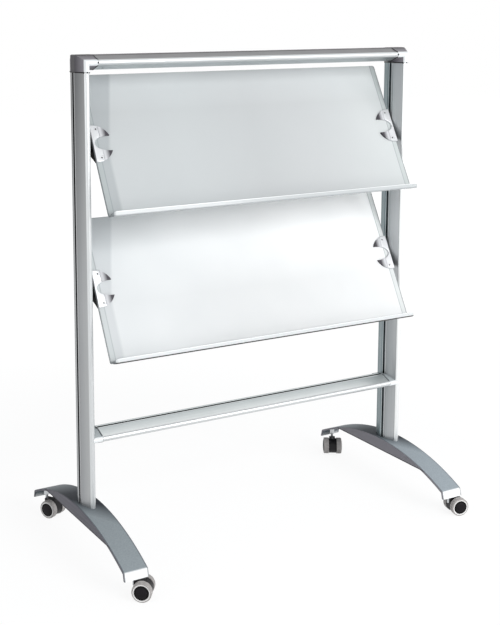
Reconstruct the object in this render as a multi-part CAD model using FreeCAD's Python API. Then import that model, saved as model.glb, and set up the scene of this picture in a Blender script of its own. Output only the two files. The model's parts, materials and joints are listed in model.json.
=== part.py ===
import FreeCAD, Part
import math
import os

# Periodical display rack: two slotted posts on arched feet with casters, a top bar, a low
# crossbar, and two tilting shelves whose clamps slide in the slots of the posts.
# Millimetres. X runs across the rack, to the right. The front faces -Y. Z is up from the floor,
# and the origin is on the floor, midway between the posts.

V = FreeCAD.Vector
AXIS_X = V(1, 0, 0)
AXIS_Y = V(0, 1, 0)
AXIS_Z = V(0, 0, 1)
SIDES = {"left": -1, "right": 1}
BOTH = (-1, 1)

# ---- Driving dimensions ---------------------------------------------------------------------

# Frame
RACK_HEIGHT = 1250.0          # floor to the top ridge of the top bar
POST_SPACING = 956.0          # between the centre lines of the posts
ELBOW_REACH = 28.0            # centre line of a post to the end of a bar
CROSSBAR_HEIGHT = 305.3       # centre line of the crossbar above the floor
SEAM = 0.8                    # shadow gap at each butt joint of the frame
OVER = 1.0                    # cutters pass the faces they cut, and joined solids overlap, by this

# Aluminium section of posts and bars: a lens with a T-slot in each broad side
SECTION_HALF_THICK = 18.0     # centre to ridge
RIDGE_HALF_WIDTH = 12.0       # flat beside the slot
NOSE_RADIUS = 7.5
NOSE_CENTRE = 37.1            # centre of the section to the centre of the nose
SECTION_WALL = 2.5
SLOT_MOUTH = 8.0
SLOT_LIP = 3.0
CHAMBER_WIDTH = 15.0
CHAMBER_DEPTH = 5.0
CORE_BORE = 8.2
HOLLOW_START = 12.5           # centre of the section to the near wall of a hollow
HOLLOW_END = 36.0             # and to its far wall
HOLLOW_CORNER = 1.0

# Elbows and the keys inside them
ELBOW_PROUD = 0.5             # the casting stands this far outside the section
ELBOW_DROP = 4.5              # its post leg ends this far below the top bar
ELBOW_ROUND = 5.0             # outer corner of the mitre
KEY_WIDTH = 16.0
KEY_THICK = 14.0
KEY_REACH = 55.0              # length inside the post and inside the bar
KEY_CHAMFER = 5.0
KEY_CLEARANCE = 0.3
GRUB_DIAMETER = 5.0
GRUB_CLEARANCE = 0.1
GRUB_INSET = 22.0             # seam to the centre of the grub screw
GRUB_SUNK = 1.0               # below the surface of the nose

# Crossbar joints
CROSSBOLT_DIAMETER = 7.2
CROSSBOLT_HEAD = 14.4
CROSSBOLT_LENGTH = 45.0       # under its head
FITTING_CLEARANCE = 0.2       # end fitting to the post

# Arched feet
FOOT_TOP = 133.2              # top of the arch above the floor
FOOT_SHOULDER = 68.76         # outer face of the arch at the bends of its lips, above the floor
FOOT_WIDTH = 64.0
FOOT_PLATE = 5.0
SKIRT_THICK = 4.0
SKIRT_CHORD = 100.0           # straight lower edge of the skirts above the floor
LIP_START = 271.7             # middle of the foot to the bend of the lip
LIP_LEAN = 4.8
LIP_BOTTOM = 49.2
LIP_BEND = 6.0
FOOT_EDGE = 1.2
POST_FOOT_GAP = 0.1
PLUG_LENGTH = 60.0
FOOT_BOLT_DIAMETER = 8.0
FOOT_BOLT_HEAD = 13.0
FOOT_BOLT_HEAD_HIGH = 8.0
FOOT_BOLT_REACH = 32.0
BOLT_CLEARANCE = 0.1
BOLT_END_GAP = 2.0            # end of the bolt to the end of its hole

# Twin-wheel casters
CASTER_INSET = 9.7            # swivel axis to the bend of the lip
WHEEL_RADIUS = 24.0
TYRE_WIDTH = 15.0
TYRE_EDGE = 3.0
TYRE_INNER_EDGE = 0.6
HUB_RADIUS = 17.8
HUB_DOME = 2.0
HUB_WEB = 3.0                 # hub wall in front of the end of the axle
CASTER_TRAIL = 22.0           # swivel axis to axle
HOOD_HALF_WIDTH = 11.7
HOOD_RADIUS = 22.0
HOOD_NECK_RADIUS = 8.6
HOOD_NECK_TOP = 49.0
HOOD_TIP_RADIUS = 6.0
HOOD_TIP_TOP = 55.0
HOOD_NECK_BASE = 12.0
STEM_DIAMETER = 8.0
STEM_BASE = 30.0
STEM_END_GAP = 1.0            # end of the stem to the end of its bore
COLLAR_RADIUS = 7.8           # hexagonal nut, across its corners
COLLAR_BASE = 55.6
AXLE_DIAMETER = 6.0
RUNNING_FIT = 0.05            # radial, shaft in hole
RUNNING_GAP = 0.3             # between faces that move past each other
# Heading of each axle, seen from above, in degrees from +X
CASTER_HEADINGS = {
    "front_left": -128.0,
    "rear_left": -152.0,
    "front_right": -104.0,
    "rear_right": 148.0,
}

# Shelves: a sheet with a tray along its lower edge
SHELF_HEADROOM = 15.8         # top bar to the highest edge of the upper shelf
SHELF_SPACING = 356.3         # upper pivot to lower pivot
SHELF_TILT = 27.8             # lean of the sheet from the vertical, in degrees
SHELF_SIDE_GAP = 4.5          # end of the sheet to the ridge of the post
SHEET_THICK = 3.0
SHEET_ABOVE = 183.0           # pivot to the top edge, along the sheet
SHEET_BELOW = 183.0           # pivot to the bend of the tray
SHEET_OFFSET = 18.9           # pivot to the front face of the sheet
SHEET_CORNER = 6.0
SHEET_EDGE = 1.0
SHEET_BEND = 3.0              # inside radius between sheet and ledge
LEDGE_DEPTH = 26.0            # front face of the sheet to the inside of the rim
LEDGE_DROOP = 14.8            # degrees below square to the sheet
LEDGE_STUB = 6.0              # first stretch of the ledge, bent up with the sheet
RIM_HEIGHT = 9.0              # above the ledge, along the front
RIM_START = 1.2               # above the ledge, where it leaves the sheet
RIM_CORNER_SHARE = 0.7        # of its height, at the front corners
TRAY_FLARE = 4.0              # the front of the tray is wider by this at each end
TRAY_CORNER = 10.0            # outer radius of its front corners
TRAY_UNDER_ROUND = 2.6        # under the rim, outside
TRAY_INNER_ROUND = 1.5

# Shelf clamps: a silver jaw in front of the sheet and a black pivot housing behind it
JAW_RADIUS = 47.5
JAW_INSET = 5.3               # edge of the sheet to the centre of the jaw's arc
JAW_THICK = 5.5
JAW_EDGE = 1.6
JAW_SILVER_WIDTH = 21.7
MOUTH_CENTRE = 45.5           # edge of the sheet to the middle of the mouth's ellipse
MOUTH_HALF_LENGTH = 40.5
MOUTH_HALF_HEIGHT = 19.5
PAD_THICK = 4.6
PAD_GAP = 0.4                 # jaw to pad
SCREW_INSET = 15.0
SCREW_OFFSET = 37.0
SCREW_DIAMETER = 6.0
SCREW_HEAD_DIAMETER = 10.8    # countersunk
SCREW_HEAD_HIGH = 2.4
SCREW_SUNK = 0.3              # the head lies this far below the face of the jaw
SCREW_SOCKET = 2.3            # hexagonal, across its corners, as a radius
SCREW_SOCKET_DEPTH = 2.0
SCREW_CLEARANCE = 0.2
SCREW_REACH = 6.5             # into the housing
HOUSING_BASE_RADIUS = 46.5
HOUSING_WAIST_RADIUS = 29.5
HOUSING_WAIST_DEPTH = 15.0
HOUSING_TIP_RADIUS = 14.0
HOUSING_DEPTH = 30.0
HOUSING_RIM = 2.0
HOUSING_WALL = 3.0
HOUSING_FACE = 4.0
BOSS_RADIUS = 10.0
SCREW_BOSS_RADIUS = 5.5

# Pivots in the slots
PIN_DIAMETER = 12.0
PIN_LENGTH = 18.0
NECK_DIAMETER = 7.2
NUT_LENGTH = 36.0
WASHER_DIAMETER = 24.0

# ---- Derived sizes --------------------------------------------------------------------------

POST_X = POST_SPACING / 2
BAR_HALF = POST_X - ELBOW_REACH
TOP_BAR_HEIGHT = RACK_HEIGHT - SECTION_HALF_THICK
POST_TOP = TOP_BAR_HEIGHT - SECTION_HALF_THICK - ELBOW_DROP
SECTION_HALF_DEPTH = NOSE_CENTRE + NOSE_RADIUS
CHAMBER_FLOOR = SECTION_HALF_THICK - SLOT_LIP - CHAMBER_DEPTH
RIDGE_X = POST_X - SECTION_HALF_THICK            # inner ridge of a post
KEY_CENTRE = HOLLOW_START + KEY_CLEARANCE + KEY_THICK / 2
FOOT_RISE = FOOT_TOP - FOOT_SHOULDER
FOOT_RADIUS = (LIP_START ** 2 + FOOT_RISE ** 2) / (2 * FOOT_RISE)
FOOT_CENTRE_Z = FOOT_TOP - FOOT_RADIUS
FOOT_INNER_RADIUS = FOOT_RADIUS - FOOT_PLATE
CASTER_REACH = LIP_START - CASTER_INSET          # middle of the foot to the swivel axis
FAR = 2 * RACK_HEIGHT                            # longer than anything it trims
WHEEL_INNER = HOOD_HALF_WIDTH + RUNNING_GAP
WHEEL_OUTER = WHEEL_INNER + TYRE_WIDTH
AXLE_HALF = WHEEL_OUTER + HUB_DOME - HUB_WEB
SHEET_HALF = RIDGE_X - SHELF_SIDE_GAP
SHEET_BACK = SHEET_OFFSET - SHEET_THICK
TILT = math.radians(SHELF_TILT)
SHEET_RISE = SHEET_ABOVE * math.cos(TILT) + SHEET_OFFSET * math.sin(TILT)
UPPER_PIVOT_HEIGHT = TOP_BAR_HEIGHT - SECTION_HALF_THICK - SHELF_HEADROOM - SHEET_RISE
LOWER_PIVOT_HEIGHT = UPPER_PIVOT_HEIGHT - SHELF_SPACING
JAW_TOP = SHEET_OFFSET + JAW_THICK
NUT_WIDTH = CHAMBER_WIDTH - 2 * RUNNING_GAP
NUT_THICK = CHAMBER_DEPTH - 2 * RUNNING_GAP
NUT_FACE_X = RIDGE_X + SLOT_LIP + RUNNING_GAP
WASHER_INNER_X = SHEET_HALF + RUNNING_GAP
WASHER_OUTER_X = RIDGE_X - RUNNING_GAP

# ---- Helpers --------------------------------------------------------------------------------


def save(shapes, name):
    """Write one node: a single solid or a group of separate solids."""
    if not isinstance(shapes, list):
        shapes = [shapes]
    solids = [solid for shape in shapes for solid in shape.Solids]
    shape = solids[0] if len(solids) == 1 else Part.makeCompound(solids)
    shape.exportStep("parts/" + name + ".step")


def tidy(shape):
    """One clean solid after a union."""
    return shape.removeSplitter().Solids[0]


def box(low, high):
    """Box between two opposite corners."""
    return Part.makeBox(high.x - low.x, high.y - low.y, high.z - low.z, low)


def rod(radius, start, end):
    """Round bar between two points."""
    return Part.makeCylinder(radius, (end - start).Length, start, end - start)


def hexagon(radius, start, end):
    """Hexagonal bar straight up from one point to another; radius reaches to its corners."""
    turns = [math.radians(60 * k) for k in range(7)]
    outline = Part.makePolygon([V(radius * math.cos(turn), radius * math.sin(turn), 0) for turn in turns])
    return Part.Face(outline).extrude(end - start).translated(start)


def face_of(edges):
    return Part.Face(Part.Wire(edges))


def line(start, end):
    return Part.makeLine(start, end)


def arc(start, middle, end):
    return Part.Arc(start, middle, end).toShape()


def rounded_face(points, radii):
    """Polygon with each corner rounded by its own radius."""
    starts = []
    middles = []
    ends = []
    for index, corner in enumerate(points):
        back = (points[index - 1] - corner).normalize()
        onward = (points[(index + 1) % len(points)] - corner).normalize()
        half_angle = back.getAngle(onward) / 2
        reach = radii[index] / math.tan(half_angle)
        to_arc = radii[index] / math.sin(half_angle) - radii[index]
        starts.append(corner + back * reach)
        middles.append(corner + (back + onward).normalize() * to_arc)
        ends.append(corner + onward * reach)
    edges = []
    for index in range(len(points)):
        if radii[index] > 0:
            edges.append(arc(starts[index], middles[index], ends[index]))
        edges.append(line(ends[index], starts[(index + 1) % len(points)]))
    return face_of(edges)


def edges_where(shape, test):
    """Edges whose two ends and middle all pass the test."""
    chosen = []
    for edge in shape.Edges:
        middle = edge.valueAt((edge.FirstParameter + edge.LastParameter) / 2)
        ends = [vertex.Point for vertex in edge.Vertexes]
        if all(test(point) for point in ends + [middle]):
            chosen.append(edge)
    return chosen


def near(value, target):
    return abs(value - target) < 0.01


def turned_to_x(shape):
    """Lay a shape that runs along Z along X instead."""
    return shape.rotated(V(0, 0, 0), AXIS_Y, 90)


# ---- Section of posts and bars --------------------------------------------------------------


def lens_face(proud=0.0):
    """Outline of the section: X across its thickness, Y along its depth."""
    ridge = SECTION_HALF_THICK + proud
    nose = NOSE_RADIUS + proud
    edges = []
    for turn in (1, -1):
        flat_start = V(turn * ridge, -turn * RIDGE_HALF_WIDTH, 0)
        flat_end = V(turn * ridge, turn * RIDGE_HALF_WIDTH, 0)
        nose_start = V(turn * nose, turn * NOSE_CENTRE, 0)
        nose_tip = V(0, turn * (NOSE_CENTRE + nose), 0)
        nose_end = V(-turn * nose, turn * NOSE_CENTRE, 0)
        next_flat = V(-turn * ridge, turn * RIDGE_HALF_WIDTH, 0)
        edges.append(line(flat_start, flat_end))
        edges.append(line(flat_end, nose_start))
        edges.append(arc(nose_start, nose_tip, nose_end))
        edges.append(line(nose_end, next_flat))
    return face_of(edges)


def lens_prism(length, proud=0.0):
    return lens_face(proud).extrude(AXIS_Z * length)


def hollow_half_thick(depth):
    """Half thickness of a hollow at a distance from the middle of the section."""
    slope = (SECTION_HALF_THICK - NOSE_RADIUS) / (NOSE_CENTRE - RIDGE_HALF_WIDTH)
    wall = SECTION_WALL * math.hypot(1, slope)
    return SECTION_HALF_THICK - slope * (depth - RIDGE_HALF_WIDTH) - wall


def extrusion(length):
    """Slotted and hollow section of the given length, standing on Z = 0."""
    body = lens_prism(length)
    for side in BOTH:
        mouth = box(V(0, -SLOT_MOUTH / 2, 0), V(SECTION_HALF_THICK + OVER, SLOT_MOUTH / 2, length))
        mouth.translate(V(CHAMBER_FLOOR, 0, 0))
        chamber = box(
            V(CHAMBER_FLOOR, -CHAMBER_WIDTH / 2, 0),
            V(CHAMBER_FLOOR + CHAMBER_DEPTH, CHAMBER_WIDTH / 2, length),
        )
        near_half = hollow_half_thick(HOLLOW_START)
        far_half = hollow_half_thick(HOLLOW_END)
        corners = [
            V(-near_half, HOLLOW_START, 0),
            V(near_half, HOLLOW_START, 0),
            V(far_half, HOLLOW_END, 0),
            V(-far_half, HOLLOW_END, 0),
        ]
        hollow = rounded_face(corners, [HOLLOW_CORNER] * len(corners)).extrude(AXIS_Z * length)
        for space in (mouth, chamber, hollow):
            if side < 0:
                space = space.rotated(V(0, 0, 0), AXIS_Z, 180)
            body = body.cut(space)
    core = Part.makeCylinder(CORE_BORE / 2, length)
    return tidy(body.cut(core))


# ---- Frame ----------------------------------------------------------------------------------


def foot_cylinder(radius):
    """Round bar along X whose top is the arch of both feet."""
    return rod(radius, V(-FAR / 2, 0, FOOT_CENTRE_Z), V(FAR / 2, 0, FOOT_CENTRE_Z))


def post(side):
    """Post from the arch of its foot to the elbow, with holes for the grub screws."""
    start = SKIRT_CHORD
    body = extrusion(POST_TOP - SEAM - start).translated(V(side * POST_X, 0, start))
    body = body.cut(foot_cylinder(FOOT_RADIUS + POST_FOOT_GAP))
    return tidy(body.cut(grub_hole(post_grub_ends(side))))


def bar(height):
    """Bar between the posts, square cut."""
    length = 2 * (BAR_HALF - SEAM)
    return turned_to_x(extrusion(length)).translated(V(-length / 2, 0, height))


def grub_hole(ends):
    return rod(GRUB_DIAMETER / 2 + GRUB_CLEARANCE, ends[0], ends[1] * 2 - ends[0])


def post_grub_ends(side):
    """Grub screw through the rear nose of the post, on to the rear key."""
    height = POST_TOP - GRUB_INSET
    inner = KEY_CENTRE + KEY_THICK / 2
    return V(side * POST_X, inner, height), V(side * POST_X, SECTION_HALF_DEPTH - GRUB_SUNK, height)


def bar_grub_ends(side, depth_side):
    """Grub screw through the under side of the top bar, up to a key."""
    x = side * (BAR_HALF - GRUB_INSET)
    y = depth_side * KEY_CENTRE
    top = TOP_BAR_HEIGHT - KEY_WIDTH / 2
    return V(x, y, top), V(x, y, TOP_BAR_HEIGHT - hollow_half_thick(KEY_CENTRE) - SECTION_WALL)


def top_bar():
    body = bar(TOP_BAR_HEIGHT)
    for side in BOTH:
        for depth_side in BOTH:
            body = body.cut(grub_hole(bar_grub_ends(side, depth_side)))
    return tidy(body)


def elbow_key(side, depth_side, clearance=0.0):
    """L-shaped bar inside an elbow: one leg down the post, one along the bar."""
    half = KEY_WIDTH / 2 + clearance
    outer_x = side * (POST_X + half)
    inner_x = side * (POST_X - half)
    bar_end = side * (BAR_HALF - KEY_REACH)
    top = TOP_BAR_HEIGHT + half
    corner_cut = KEY_CHAMFER
    points = [
        V(outer_x, 0, POST_TOP - KEY_REACH),
        V(outer_x, 0, top - corner_cut),
        V(outer_x - side * corner_cut, 0, top),
        V(bar_end, 0, top),
        V(bar_end, 0, TOP_BAR_HEIGHT - half),
        V(inner_x, 0, TOP_BAR_HEIGHT - half),
        V(inner_x, 0, POST_TOP - KEY_REACH),
    ]
    thick = KEY_THICK + 2 * clearance
    outline = Part.Face(Part.makePolygon(points + points[:1]))
    return outline.extrude(AXIS_Y * thick).translated(V(0, depth_side * KEY_CENTRE - thick / 2, 0))


def mitre_half(side, post_half):
    """Everything on the post's side, or on the bar's side, of an elbow's mitre."""
    reach = 2 * SECTION_HALF_DEPTH
    centre = V(side * POST_X, -reach, TOP_BAR_HEIGHT)
    outwards = V(side * reach, 0, 0)
    upwards = V(0, 0, reach)
    third = outwards - upwards if post_half else upwards - outwards
    points = [centre - outwards - upwards, centre + outwards + upwards, centre + third]
    return Part.Face(Part.makePolygon(points + points[:1])).extrude(AXIS_Y * (2 * reach))


def elbow(side):
    """Mitred corner casting: a leg on the post and a leg on the bar."""
    proud = SECTION_HALF_THICK + ELBOW_PROUD
    post_leg = lens_prism(TOP_BAR_HEIGHT - POST_TOP + proud, ELBOW_PROUD)
    post_leg.translate(V(side * POST_X, 0, POST_TOP))
    bar_leg = turned_to_x(lens_prism(POST_X - BAR_HALF + proud, ELBOW_PROUD))
    bar_leg.translate(V(BAR_HALF if side > 0 else -POST_X - proud, 0, TOP_BAR_HEIGHT))
    legs = [post_leg.common(mitre_half(side, True)), bar_leg.common(mitre_half(side, False))]
    body = tidy(legs[0].fuse(legs[1]))
    outer_x = POST_X + proud
    outer_z = TOP_BAR_HEIGHT + proud
    corner = edges_where(body, lambda p: near(abs(p.x), outer_x) and near(p.z, outer_z))
    body = body.makeFillet(ELBOW_ROUND, corner)
    for depth_side in BOTH:
        body = body.cut(elbow_key(side, depth_side, KEY_CLEARANCE))
    return tidy(body)


def crossbar_fitting(side):
    """End fitting: the bar's outline, scribed to the lens of the post."""
    reach = POST_X - BAR_HALF
    body = turned_to_x(lens_prism(reach))
    body.translate(V(BAR_HALF if side > 0 else -POST_X, 0, CROSSBAR_HEIGHT))
    post_outline = lens_prism(FAR / 2, FITTING_CLEARANCE).translated(V(side * POST_X, 0, 0))
    hole = rod(
        CROSSBOLT_DIAMETER / 2 + BOLT_CLEARANCE,
        V(0, 0, CROSSBAR_HEIGHT),
        V(side * POST_X, 0, CROSSBAR_HEIGHT),
    )
    pieces = body.cut([post_outline, hole]).Solids
    return max(pieces, key=lambda piece: piece.Volume)


def crossbar_bolt(side):
    """T-head bolt: its head lies in the post's slot, its shank in the crossbar's core."""
    head_x = RIDGE_X + SLOT_LIP
    half = CROSSBOLT_HEAD / 2
    head = box(
        V(head_x, -half, CROSSBAR_HEIGHT - half),
        V(head_x + NUT_THICK, half, CROSSBAR_HEIGHT + half),
    )
    shank = rod(
        CROSSBOLT_DIAMETER / 2,
        V(head_x - CROSSBOLT_LENGTH, 0, CROSSBAR_HEIGHT),
        V(head_x, 0, CROSSBAR_HEIGHT),
    )
    bolt = tidy(head.fuse(shank))
    return bolt if side > 0 else bolt.mirror(V(0, 0, 0), AXIS_X)


# ---- Feet -----------------------------------------------------------------------------------


def foot(side):
    """Arched plate with a skirt along each side and a lip bent down at each end."""
    half = FOOT_WIDTH / 2
    outer = foot_cylinder(FOOT_RADIUS)
    span = box(V(-half, -LIP_START, SKIRT_CHORD - FAR / 4), V(half, LIP_START, FAR / 4))
    body = outer.cut(foot_cylinder(FOOT_INNER_RADIUS)).common(span)
    body = body.common(box(V(-half, -FAR / 4, 0), V(half, FAR / 4, FAR / 4)))
    lip_top = FOOT_CENTRE_Z + math.sqrt(FOOT_RADIUS ** 2 - LIP_START ** 2)
    direction = V(0, -LIP_LEAN, lip_top - LIP_BOTTOM).normalize()
    thick_step = V(0, -direction.z, direction.y).normalize() * FOOT_PLATE
    toe = V(-half, LIP_START + LIP_LEAN, LIP_BOTTOM)
    crown = toe + direction * (lip_top - LIP_BOTTOM) * 2
    level = V(0, thick_step.y + thick_step.z * LIP_LEAN / (lip_top - LIP_BOTTOM), 0)
    lip_points = [toe, crown, crown + level, toe + level]
    lip = Part.Face(Part.makePolygon(lip_points + lip_points[:1])).extrude(AXIS_X * FOOT_WIDTH)
    lip = lip.common(outer)
    skirt_zone = outer.common(box(V(-half, -FAR / 4, SKIRT_CHORD), V(half, FAR / 4, FAR / 4)))
    inside = half - SKIRT_THICK
    skirts = skirt_zone.cut(box(V(-inside, -FAR / 4, 0), V(inside, FAR / 4, FAR / 4)))
    body = tidy(body.fuse([lip, lip.mirror(V(0, 0, 0), AXIS_Y), skirts]))
    bends = edges_where(body, lambda p: near(abs(p.y), LIP_START) and near(p.z, lip_top))
    body = body.makeFillet(LIP_BEND, bends)
    top_edges = edges_where(
        body,
        lambda p: near(abs(p.x), half) and near(math.hypot(p.y, p.z - FOOT_CENTRE_Z), FOOT_RADIUS),
    )
    body = body.makeFillet(FOOT_EDGE, top_edges)
    body.translate(V(side * POST_X, 0, 0))
    for depth_side in BOTH:
        x, y = side * POST_X, depth_side * KEY_CENTRE
        body = body.cut(rod(FOOT_BOLT_DIAMETER / 2 + BOLT_CLEARANCE, V(x, y, 0), V(x, y, FOOT_TOP)))
    return tidy(body)


def post_plug(side, depth_side):
    """Block in the foot of the post, tapped for the bolt from below."""
    x, y = side * POST_X, depth_side * KEY_CENTRE
    half_x = KEY_WIDTH / 2
    half_y = KEY_THICK / 2
    body = box(V(x - half_x, y - half_y, SKIRT_CHORD), V(x + half_x, y + half_y, FOOT_TOP + PLUG_LENGTH))
    body = body.cut(foot_cylinder(FOOT_RADIUS + POST_FOOT_GAP))
    tapped = rod(FOOT_BOLT_DIAMETER / 2 + BOLT_CLEARANCE, V(x, y, 0), V(x, y, FOOT_TOP + FOOT_BOLT_REACH))
    return tidy(body.cut(tapped))


def foot_bolt(side, depth_side):
    """Bolt from under the foot into a plug."""
    x, y = side * POST_X, depth_side * KEY_CENTRE
    edge = abs(y) + FOOT_BOLT_HEAD / 2
    seat = FOOT_CENTRE_Z + math.sqrt(FOOT_INNER_RADIUS ** 2 - edge ** 2)
    head = rod(FOOT_BOLT_HEAD / 2, V(x, y, seat - FOOT_BOLT_HEAD_HIGH), V(x, y, seat))
    shank = rod(FOOT_BOLT_DIAMETER / 2, V(x, y, seat - OVER), V(x, y, FOOT_TOP + FOOT_BOLT_REACH - BOLT_END_GAP))
    return tidy(head.fuse(shank))


# ---- Casters --------------------------------------------------------------------------------


def caster_place(corner):
    """Swivel axis of a caster on the floor."""
    side = -1 if corner.endswith("left") else 1
    end = -1 if corner.startswith("front") else 1
    return V(side * POST_X, end * CASTER_REACH, 0)


def turned_caster(shape, corner):
    """Move a piece modelled with its axle along X and its trail along Y into place."""
    turned = shape.rotated(V(0, 0, 0), AXIS_Z, CASTER_HEADINGS[corner])
    return turned.translated(caster_place(corner))


def caster_stem(corner, foot_shape):
    """Threaded stem and its hexagonal collar nut under the foot."""
    place = caster_place(corner)
    collar = hexagon(COLLAR_RADIUS, V(0, 0, COLLAR_BASE), V(0, 0, FOOT_TOP))
    shank = rod(STEM_DIAMETER / 2, V(0, 0, STEM_BASE), V(0, 0, COLLAR_BASE + OVER))
    body = collar.fuse(shank).translated(place)
    body = body.common(foot_cylinder(FOOT_INNER_RADIUS)).cut(foot_shape)
    solids = [solid for solid in body.Solids if solid.BoundBox.ZMin < COLLAR_BASE]
    return tidy(solids[0])


def caster_hood():
    """Body between the wheels, with the neck that turns on the stem."""
    axle_y = CASTER_TRAIL
    disc = rod(
        HOOD_RADIUS,
        V(-HOOD_HALF_WIDTH, axle_y, WHEEL_RADIUS),
        V(HOOD_HALF_WIDTH, axle_y, WHEEL_RADIUS),
    )
    neck = rod(HOOD_NECK_RADIUS, V(0, 0, HOOD_NECK_BASE), V(0, 0, HOOD_NECK_TOP))
    tip = Part.makeCone(
        HOOD_NECK_RADIUS, HOOD_TIP_RADIUS, HOOD_TIP_TOP - HOOD_NECK_TOP, V(0, 0, HOOD_NECK_TOP)
    )
    web = box(
        V(-HOOD_NECK_RADIUS, 0, HOOD_NECK_BASE), V(HOOD_NECK_RADIUS, axle_y, WHEEL_RADIUS + HOOD_RADIUS)
    )
    body = tidy(disc.fuse([neck, tip, web]))
    bore = rod(STEM_DIAMETER / 2 + RUNNING_FIT, V(0, 0, STEM_BASE - STEM_END_GAP), V(0, 0, FOOT_TOP))
    axle_hole = rod(AXLE_DIAMETER / 2, V(-FAR / 4, axle_y, WHEEL_RADIUS), V(FAR / 4, axle_y, WHEEL_RADIUS))
    return tidy(body.cut([bore, axle_hole]))


def caster_axle():
    start = V(-AXLE_HALF, CASTER_TRAIL, WHEEL_RADIUS)
    return rod(AXLE_DIAMETER / 2, start, V(AXLE_HALF, CASTER_TRAIL, WHEEL_RADIUS))


def tyre():
    """Soft tread ring on the outer side of the hood."""
    corners = [
        V(WHEEL_INNER, HUB_RADIUS, 0),
        V(WHEEL_OUTER, HUB_RADIUS, 0),
        V(WHEEL_OUTER, WHEEL_RADIUS, 0),
        V(WHEEL_INNER, WHEEL_RADIUS, 0),
    ]
    face = rounded_face(corners, [0.0, TYRE_INNER_EDGE, TYRE_EDGE, TYRE_EDGE])
    ring = face.revolve(V(0, 0, 0), AXIS_X, 360).Solids[0]
    return ring.translated(V(0, CASTER_TRAIL, WHEEL_RADIUS))


def hub():
    """Domed hub, bored for the axle from its inner side."""
    crown = WHEEL_OUTER + HUB_DOME
    ball_radius = (HUB_RADIUS ** 2 + HUB_DOME ** 2) / (2 * HUB_DOME)
    ball = Part.makeSphere(ball_radius, V(crown - ball_radius, 0, 0))
    body = rod(HUB_RADIUS, V(WHEEL_INNER, 0, 0), V(crown, 0, 0)).common(ball)
    bore_end = V(AXLE_HALF + RUNNING_GAP, 0, 0)
    body = body.cut(rod(AXLE_DIAMETER / 2 + RUNNING_FIT, V(0, 0, 0), bore_end))
    return tidy(body).translated(V(0, CASTER_TRAIL, WHEEL_RADIUS))


# ---- Shelves --------------------------------------------------------------------------------
# A shelf is drawn about its pivot: X across, Y up along the sheet, Z out of its front face.


def on_shelf(shape, pivot_height):
    """Lean a shelf piece back and lift it to its pivot."""
    leaned = shape.rotated(V(0, 0, 0), AXIS_X, 90 - SHELF_TILT)
    return leaned.translated(V(0, 0, pivot_height))


def on_ledge(shape):
    """Place a piece drawn with its front towards -Y and its foot on Z = 0 on the ledge."""
    return shape.rotated(V(0, 0, 0), AXIS_X, LEDGE_DROOP - 90).translated(V(0, -SHEET_BELOW, SHEET_OFFSET))


def sheet_section():
    """Side view of the sheet and the stub of its ledge, with the bend between them."""
    droop = math.radians(LEDGE_DROOP)
    along = V(0, -math.sin(droop), math.cos(droop))
    up = V(0, math.cos(droop), math.sin(droop))
    bend = V(0, -SHEET_BELOW, SHEET_OFFSET)
    stub = bend + along * LEDGE_STUB
    back_bend_drop = SHEET_THICK * math.tan((math.pi / 2 - droop) / 2)
    points = [
        V(0, SHEET_ABOVE, SHEET_OFFSET),
        bend,
        stub,
        stub - up * SHEET_THICK,
        V(0, -SHEET_BELOW - back_bend_drop, SHEET_BACK),
        V(0, SHEET_ABOVE, SHEET_BACK),
    ]
    return rounded_face(points, [SHEET_EDGE, SHEET_BEND, 0.0, 0.0, SHEET_BEND + SHEET_THICK, SHEET_EDGE])


def rim_slope(side):
    """Everything above the end of the rim, which climbs from the sheet to the front."""
    front = LEDGE_DEPTH + SHEET_THICK
    start = V(side * SHEET_HALF, -LEDGE_STUB, RIM_START)
    front_end = V(side * (SHEET_HALF - TRAY_CORNER), -front, RIM_HEIGHT)
    front_corner = V(side * (SHEET_HALF + TRAY_FLARE), -front, RIM_HEIGHT * RIM_CORNER_SHARE)
    inwards = front_end - start
    forwards = front_corner - start
    points = [start + inwards * i + forwards * j for i, j in ((-2, -2), (2, -2), (2, 2), (-2, 2))]
    return Part.Face(Part.makePolygon(points + points[:1])).extrude(AXIS_Z * (4 * RIM_HEIGHT))


def tray_plan(inset, back):
    """Outline of the tray from above, drawn in by an inset, with rounded front corners."""
    front = LEDGE_DEPTH + SHEET_THICK - inset
    back_half = SHEET_HALF - inset
    front_half = SHEET_HALF + TRAY_FLARE - inset
    corner = TRAY_CORNER - inset
    points = [V(-back_half, back, 0), V(back_half, back, 0), V(front_half, -front, 0), V(-front_half, -front, 0)]
    return rounded_face(points, [0.0, 0.0, corner, corner])


def tray():
    """Ledge with a rim along its front that turns both corners and falls to the sheet."""
    floor_low = -SHEET_THICK
    body = tray_plan(0, -LEDGE_STUB).extrude(AXIS_Z * (RIM_HEIGHT + SHEET_THICK))
    body.translate(V(0, 0, floor_low))
    body = tidy(body.cut(tray_plan(SHEET_THICK, LEDGE_STUB).extrude(AXIS_Z * (2 * RIM_HEIGHT))))
    for height, radius in ((floor_low, TRAY_UNDER_ROUND), (0, TRAY_INNER_ROUND)):
        edges = edges_where(body, lambda p: near(p.z, height))
        edges = [edge for edge in edges if edge.BoundBox.YMin < -LEDGE_STUB - OVER]
        body = body.makeFillet(radius, edges)
    for side in BOTH:
        body = body.cut(rim_slope(side))
    return on_ledge(tidy(body))


def shelf_sheet():
    """Sheet with its tray, drilled for the clamp screws."""
    body = sheet_section().extrude(AXIS_X * (2 * SHEET_HALF)).translated(V(-SHEET_HALF, 0, 0))
    body = tidy(body.fuse(tray()))
    for side in BOTH:
        body = body.cut(top_corner_trim(side))
        for place in screw_places(side):
            hole = SCREW_DIAMETER / 2 + SCREW_CLEARANCE
            ends = [place + AXIS_Z * (SHEET_BACK - OVER), place + AXIS_Z * (SHEET_OFFSET + OVER)]
            body = body.cut(rod(hole, ends[0], ends[1]))
    return tidy(body)


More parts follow.
